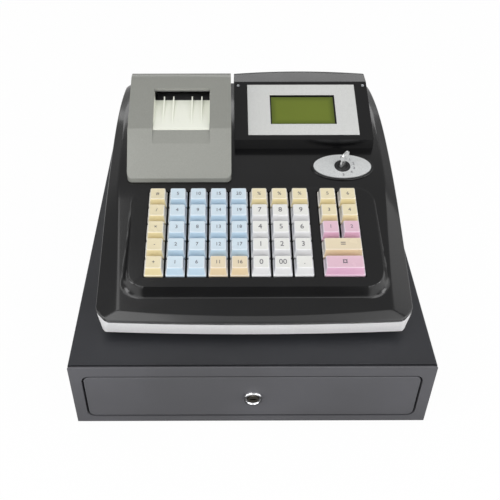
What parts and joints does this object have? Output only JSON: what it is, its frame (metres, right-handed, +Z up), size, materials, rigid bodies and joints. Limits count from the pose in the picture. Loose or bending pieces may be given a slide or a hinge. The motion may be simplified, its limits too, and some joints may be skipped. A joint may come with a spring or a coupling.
{
  "type": "cash register on a cash drawer",
  "caption": "Electronic cash register with keyboard, slip printer, tilted display and mode lock, standing on a wide low steel cash drawer with a cam lock.",
  "frame": {"origin": "middle of the product's footprint, on the table that its rubber feet stand on", "axes": "+X to the operator's right, +Y from the drawer's front to the back, +Z up"},
  "size_m": [0.335, 0.376, 0.2343],
  "materials": {
    "case_paint": "dark blue-grey textured powder coat",
    "front_paint": "dark grey textured powder coat on the frame and the drawer's front",
    "pan_steel": "thin grey primer over sheet steel",
    "zinc_steel": "bright zinc plated sheet steel",
    "foot_rubber": "matt black rubber",
    "nylon": "natural nylon",
    "tray_plastic": "fine-grained black plastic",
    "clip_plastic": "black plastic with polished pads",
    "rod_steel": "bright steel rod",
    "lock_chrome": "bright nickel plate",
    "core_brass": "nickel plated brass, worn at the keyway",
    "coil": "taped coil in a zinc plated yoke",
    "bolt_steel": "ground steel",
    "base_silver": "silver-grey painted plastic",
    "shell_black": "black satin plastic",
    "guide_black": "matt black plastic",
    "board_green": "green solder mask with dark parts",
    "cover_silver": "warm silver-grey painted plastic",
    "guide_white": "cream-white plastic",
    "blade_steel": "bright stamped steel",
    "chassis_grey": "dark grey filled plastic",
    "platen_rubber": "dark ground rubber on a steel shaft",
    "gear_white": "white acetal",
    "gear_brass": "cut brass",
    "motor_steel": "drawn steel can",
    "paper": "white thermal paper",
    "hood_black": "black satin plastic",
    "fascia_silver": "silver printed film on plastic",
    "lcd": "olive liquid-crystal glass in a black surround",
    "smoked": "smoked clear plastic",
    "oval_silver": "silver printed film on plastic",
    "lock_black": "black plastic",
    "key_steel": "nickel plated steel",
    "socket_black": "black plastic with plated contacts",
    "cap_cream": "clear cap over a cream insert",
    "cap_blue": "clear cap over a pale blue insert",
    "cap_blue_orange": "clear caps over pale blue inserts, the front one orange-cream",
    "cap_white": "clear cap over a white insert",
    "cap_pink": "clear cap over a pink insert",
    "cap_orange": "clear cap over an orange-cream insert",
    "cap_mixed": "clear caps over four cream inserts and two pink ones"
  },
  "bodies": {
    "housing": {"cabinet_shell": "case_paint", "front_frame": "front_paint", "base_pan": "pan_steel", "rubber_feet": "foot_rubber", "slide_rails": "zinc_steel", "latch_solenoid": "coil", "base_tray": "base_silver", "top_shell": "shell_black", "rear_sockets": "socket_black", "main_board": "board_green", "key_plate": "guide_black", "printer_frame": "chassis_grey", "feed_motor": "motor_steel", "display_hood": "hood_black", "display_fascia": "fascia_silver", "lcd_panel": "lcd", "customer_window": "smoked", "mode_escutcheon": "oval_silver", "mode_lock": "lock_black"},
    "drawer": {"drawer_tub": "pan_steel", "drawer_front": "front_paint", "drawer_glides": "nylon", "cash_tray": "tray_plastic", "clip_rod": "rod_steel", "lock_barrel": "lock_chrome"},
    "lock": {"lock_core": "core_brass"},
    "clip_1": {"note_clip_1": "clip_plastic"},
    "clip_2": {"note_clip_2": "clip_plastic"},
    "clip_3": {"note_clip_3": "clip_plastic"},
    "clip_4": {"note_clip_4": "clip_plastic"},
    "latch": {"latch_bolt": "bolt_steel"},
    "cover": {"printer_cover": "cover_silver", "paper_guide": "guide_white", "tear_bar": "blade_steel"},
    "platen": {"platen_roller": "platen_rubber", "platen_gear": "gear_white"},
    "pinion": {"motor_pinion": "gear_brass"},
    "roll": {"paper_roll": "paper"},
    "mode": {"mode_key": "key_steel"},
    "key_0": {"key_0": "cap_white"},
    "key_00": {"key_00": "cap_white"},
    "key_point": {"key_point": "cap_white"},
    "key_1": {"key_1": "cap_white"},
    "key_2": {"key_2": "cap_white"},
    "key_3": {"key_3": "cap_white"},
    "key_4": {"key_4": "cap_white"},
    "key_5": {"key_5": "cap_white"},
    "key_6": {"key_6": "cap_white"},
    "key_7": {"key_7": "cap_white"},
    "key_8": {"key_8": "cap_white"},
    "key_9": {"key_9": "cap_white"},
    "key_total": {"key_total": "cap_orange"},
    "key_cash": {"key_cash": "cap_pink"},
    "keys_function": {"keys_function": "cap_cream"},
    "keys_department_1": {"keys_department_1": "cap_blue"},
    "keys_department_2": {"keys_department_2": "cap_blue"},
    "keys_department_3": {"keys_department_3": "cap_blue_orange"},
    "keys_department_4": {"keys_department_4": "cap_blue_orange"},
    "keys_lookup": {"keys_lookup": "cap_cream"},
    "keys_payment": {"keys_payment": "cap_mixed"}
  },
  "joints": [
    {"name": "drawer_slide", "type": "slide", "parent": "housing", "child": "drawer", "axis": [0, -1, 0], "range_m": [0, 0.27]},
    {"name": "lock_turn", "type": "hinge", "parent": "drawer", "child": "lock", "pos_m": [0.0012, -0.184, 0.0424], "axis": [0, -1, 0], "range_deg": [0, 90]},
    {"name": "note_clip_1_lift", "type": "hinge", "parent": "drawer", "child": "clip_1", "pos_m": [-0.10275, 0.149, 0.0554], "axis": [-1, 0, 0], "range_deg": [0, 45], "stiffness_Nm_per_rad": 0.03, "springref_deg": -17.19},
    {"name": "note_clip_2_lift", "type": "hinge", "parent": "drawer", "child": "clip_2", "pos_m": [-0.03425, 0.149, 0.0554], "axis": [-1, 0, 0], "range_deg": [0, 45], "stiffness_Nm_per_rad": 0.03, "springref_deg": -17.19},
    {"name": "note_clip_3_lift", "type": "hinge", "parent": "drawer", "child": "clip_3", "pos_m": [0.03425, 0.149, 0.0554], "axis": [-1, 0, 0], "range_deg": [0, 45], "stiffness_Nm_per_rad": 0.03, "springref_deg": -17.19},
    {"name": "note_clip_4_lift", "type": "hinge", "parent": "drawer", "child": "clip_4", "pos_m": [0.10275, 0.149, 0.0554], "axis": [-1, 0, 0], "range_deg": [0, 45], "stiffness_Nm_per_rad": 0.03, "springref_deg": -17.19},
    {"name": "latch_bolt_drop", "type": "slide", "parent": "housing", "child": "latch", "axis": [0, 0, -1], "range_m": [0, 0.006], "stiffness_N_per_m": 80, "springref_m": -0.002},
    {"name": "cover_lift", "type": "hinge", "parent": "housing", "child": "cover", "pos_m": [-0.0703, 0.122, 0.1839], "axis": [-1, 0, 0], "range_deg": [0, 75]},
    {"name": "platen_spin", "type": "hinge", "parent": "housing", "child": "platen", "pos_m": [-0.0687, 0.082, 0.206], "axis": [1, 0, 0], "continuous": true},
    {"name": "pinion_spin", "type": "hinge", "parent": "housing", "child": "pinion", "pos_m": [-0.1032, 0.07235, 0.19846], "axis": [1, 0, 0], "continuous": true},
    {"name": "paper_roll_spin", "type": "hinge", "parent": "housing", "child": "roll", "pos_m": [-0.0687, 0.072, 0.161], "axis": [1, 0, 0], "continuous": true},
    {"name": "mode_key_turn", "type": "hinge", "parent": "housing", "child": "mode", "pos_m": [0.0945, 0.0007, 0.17439], "axis": [0, -0.1977, 0.9803], "range_deg": [-150, 0]},
    {"name": "key_0_press", "type": "slide", "parent": "housing", "child": "key_0", "axis": [0, 0.2622, -0.965], "range_m": [0, 0.0035], "stiffness_N_per_m": 160, "springref_m": -0.0015},
    {"name": "key_00_press", "type": "slide", "parent": "housing", "child": "key_00", "axis": [0, 0.2622, -0.965], "range_m": [0, 0.0035], "stiffness_N_per_m": 160, "springref_m": -0.0015},
    {"name": "key_point_press", "type": "slide", "parent": "housing", "child": "key_point", "axis": [0, 0.2622, -0.965], "range_m": [0, 0.0035], "stiffness_N_per_m": 160, "springref_m": -0.0015},
    {"name": "key_1_press", "type": "slide", "parent": "housing", "child": "key_1", "axis": [0, 0.2622, -0.965], "range_m": [0, 0.0035], "stiffness_N_per_m": 160, "springref_m": -0.0015},
    {"name": "key_2_press", "type": "slide", "parent": "housing", "child": "key_2", "axis": [0, 0.2622, -0.965], "range_m": [0, 0.0035], "stiffness_N_per_m": 160, "springref_m": -0.0015},
    {"name": "key_3_press", "type": "slide", "parent": "housing", "child": "key_3", "axis": [0, 0.2622, -0.965], "range_m": [0, 0.0035], "stiffness_N_per_m": 160, "springref_m": -0.0015},
    {"name": "key_4_press", "type": "slide", "parent": "housing", "child": "key_4", "axis": [0, 0.2622, -0.965], "range_m": [0, 0.0035], "stiffness_N_per_m": 160, "springref_m": -0.0015},
    {"name": "key_5_press", "type": "slide", "parent": "housing", "child": "key_5", "axis": [0, 0.2622, -0.965], "range_m": [0, 0.0035], "stiffness_N_per_m": 160, "springref_m": -0.0015},
    {"name": "key_6_press", "type": "slide", "parent": "housing", "child": "key_6", "axis": [0, 0.2622, -0.965], "range_m": [0, 0.0035], "stiffness_N_per_m": 160, "springref_m": -0.0015},
    {"name": "key_7_press", "type": "slide", "parent": "housing", "child": "key_7", "axis": [0, 0.2622, -0.965], "range_m": [0, 0.0035], "stiffness_N_per_m": 160, "springref_m": -0.0015},
    {"name": "key_8_press", "type": "slide", "parent": "housing", "child": "key_8", "axis": [0, 0.2622, -0.965], "range_m": [0, 0.0035], "stiffness_N_per_m": 160, "springref_m": -0.0015},
    {"name": "key_9_press", "type": "slide", "parent": "housing", "child": "key_9", "axis": [0, 0.2622, -0.965], "range_m": [0, 0.0035], "stiffness_N_per_m": 160, "springref_m": -0.0015},
    {"name": "key_total_press", "type": "slide", "parent": "housing", "child": "key_total", "axis": [0, 0.2622, -0.965], "range_m": [0, 0.0035], "stiffness_N_per_m": 160, "springref_m": -0.0015},
    {"name": "key_cash_press", "type": "slide", "parent": "housing", "child": "key_cash", "axis": [0, 0.2622, -0.965], "range_m": [0, 0.0035], "stiffness_N_per_m": 160, "springref_m": -0.0015},
    {"name": "keys_function_press", "type": "slide", "parent": "housing", "child": "keys_function", "axis": [0, 0.2622, -0.965], "range_m": [0, 0.0035], "stiffness_N_per_m": 160, "springref_m": -0.0015},
    {"name": "keys_department_1_press", "type": "slide", "parent": "housing", "child": "keys_department_1", "axis": [0, 0.2622, -0.965], "range_m": [0, 0.0035], "stiffness_N_per_m": 160, "springref_m": -0.0015},
    {"name": "keys_department_2_press", "type": "slide", "parent": "housing", "child": "keys_department_2", "axis": [0, 0.2622, -0.965], "range_m": [0, 0.0035], "stiffness_N_per_m": 160, "springref_m": -0.0015},
    {"name": "keys_department_3_press", "type": "slide", "parent": "housing", "child": "keys_department_3", "axis": [0, 0.2622, -0.965], "range_m": [0, 0.0035], "stiffness_N_per_m": 160, "springref_m": -0.0015},
    {"name": "keys_department_4_press", "type": "slide", "parent": "housing", "child": "keys_department_4", "axis": [0, 0.2622, -0.965], "range_m": [0, 0.0035], "stiffness_N_per_m": 160, "springref_m": -0.0015},
    {"name": "keys_lookup_press", "type": "slide", "parent": "housing", "child": "keys_lookup", "axis": [0, 0.2622, -0.965], "range_m": [0, 0.0035], "stiffness_N_per_m": 160, "springref_m": -0.0015},
    {"name": "keys_payment_press", "type": "slide", "parent": "housing", "child": "keys_payment", "axis": [0, 0.2622, -0.965], "range_m": [0, 0.0035], "stiffness_N_per_m": 160, "springref_m": -0.0015}
  ],
  "couplings": [
    {"joint": "pinion_spin", "follows": "platen_spin", "ratio": -3},
    {"joint": "paper_roll_spin", "follows": "platen_spin", "ratio": 0.26923}
  ]
}
